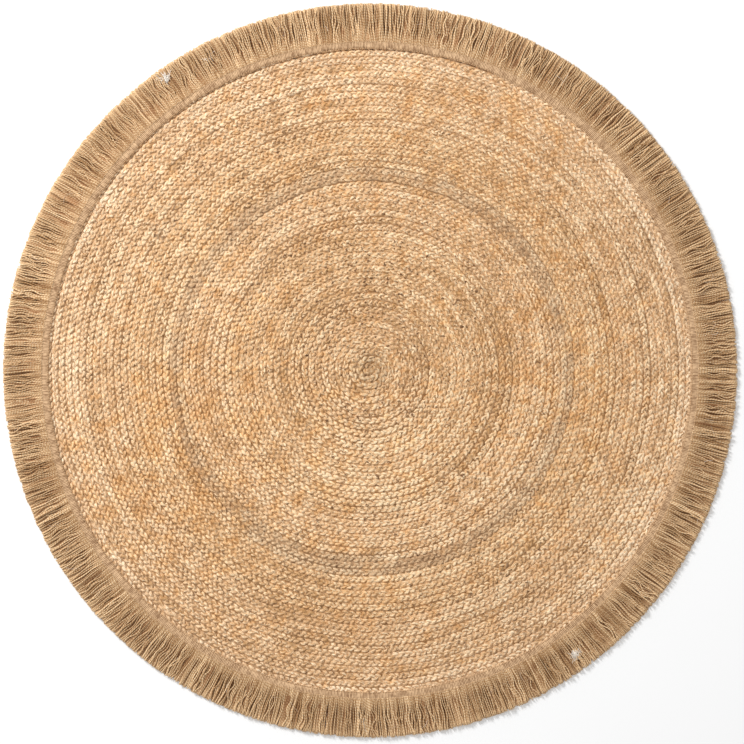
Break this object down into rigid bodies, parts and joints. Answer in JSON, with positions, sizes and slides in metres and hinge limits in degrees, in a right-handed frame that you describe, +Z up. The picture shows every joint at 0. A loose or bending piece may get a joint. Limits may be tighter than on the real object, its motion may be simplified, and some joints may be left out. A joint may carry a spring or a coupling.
{
  "type": "area rug",
  "caption": "Round area rug: a jute plait wound in a flat spiral and laced together, with a woven tape sewn over its rim and a fringe of twisted yarns lying flat around it.",
  "frame": {"origin": "centre of the underside, on the floor, at the folded start of the plait", "axes": "+Z up through the rug's thickness; X and Y lie in the floor"},
  "size_m": [1.2, 1.2, 0.011],
  "materials": {
    "jute_plait_centre": "matte plaited jute",
    "jute_plait_inner": "matte plaited jute",
    "jute_plait_middle": "matte plaited jute",
    "jute_plait_grey_ring": "matte plaited jute",
    "jute_plait_outer": "matte plaited jute",
    "jute_plait_rim": "matte plaited jute",
    "jute_plait_border": "matte plaited jute",
    "jute_plait_pale_edge": "matte plaited jute",
    "lacing_cotton": "matte spun thread",
    "jute_tape": "matte woven jute tape",
    "sewing_cotton": "matte sewing thread",
    "jute_yarn": "matte two-ply jute yarn"
  },
  "bodies": {
    "root": {"plait_centre": "jute_plait_centre", "plait_inner": "jute_plait_inner", "plait_middle": "jute_plait_middle", "plait_grey_ring": "jute_plait_grey_ring", "plait_outer": "jute_plait_outer", "plait_rim": "jute_plait_rim", "plait_border": "jute_plait_border", "plait_pale_edge": "jute_plait_pale_edge", "lacing_thread": "lacing_cotton", "fringe_tape": "jute_tape", "tape_seam_inner": "sewing_cotton", "tape_seam_outer": "sewing_cotton", "fringe_yarns_01": "jute_yarn", "fringe_yarns_02": "jute_yarn", "fringe_yarns_03": "jute_yarn", "fringe_yarns_04": "jute_yarn", "fringe_yarns_05": "jute_yarn", "fringe_yarns_06": "jute_yarn", "fringe_yarns_07": "jute_yarn", "fringe_yarns_08": "jute_yarn", "fringe_yarns_09": "jute_yarn", "fringe_yarns_10": "jute_yarn", "fringe_yarns_11": "jute_yarn", "fringe_yarns_12": "jute_yarn", "fringe_yarns_13": "jute_yarn", "fringe_yarns_14": "jute_yarn", "fringe_yarns_15": "jute_yarn", "fringe_yarns_16": "jute_yarn", "fringe_yarns_17": "jute_yarn", "fringe_yarns_18": "jute_yarn", "fringe_yarns_19": "jute_yarn", "fringe_yarns_20": "jute_yarn", "fringe_yarns_21": "jute_yarn", "fringe_yarns_22": "jute_yarn", "fringe_yarns_23": "jute_yarn", "fringe_yarns_24": "jute_yarn", "fringe_yarns_25": "jute_yarn", "fringe_yarns_26": "jute_yarn", "fringe_yarns_27": "jute_yarn", "fringe_yarns_28": "jute_yarn", "fringe_yarns_29": "jute_yarn", "fringe_yarns_30": "jute_yarn", "fringe_yarns_31": "jute_yarn", "fringe_yarns_32": "jute_yarn"}
  },
  "joints": []
}
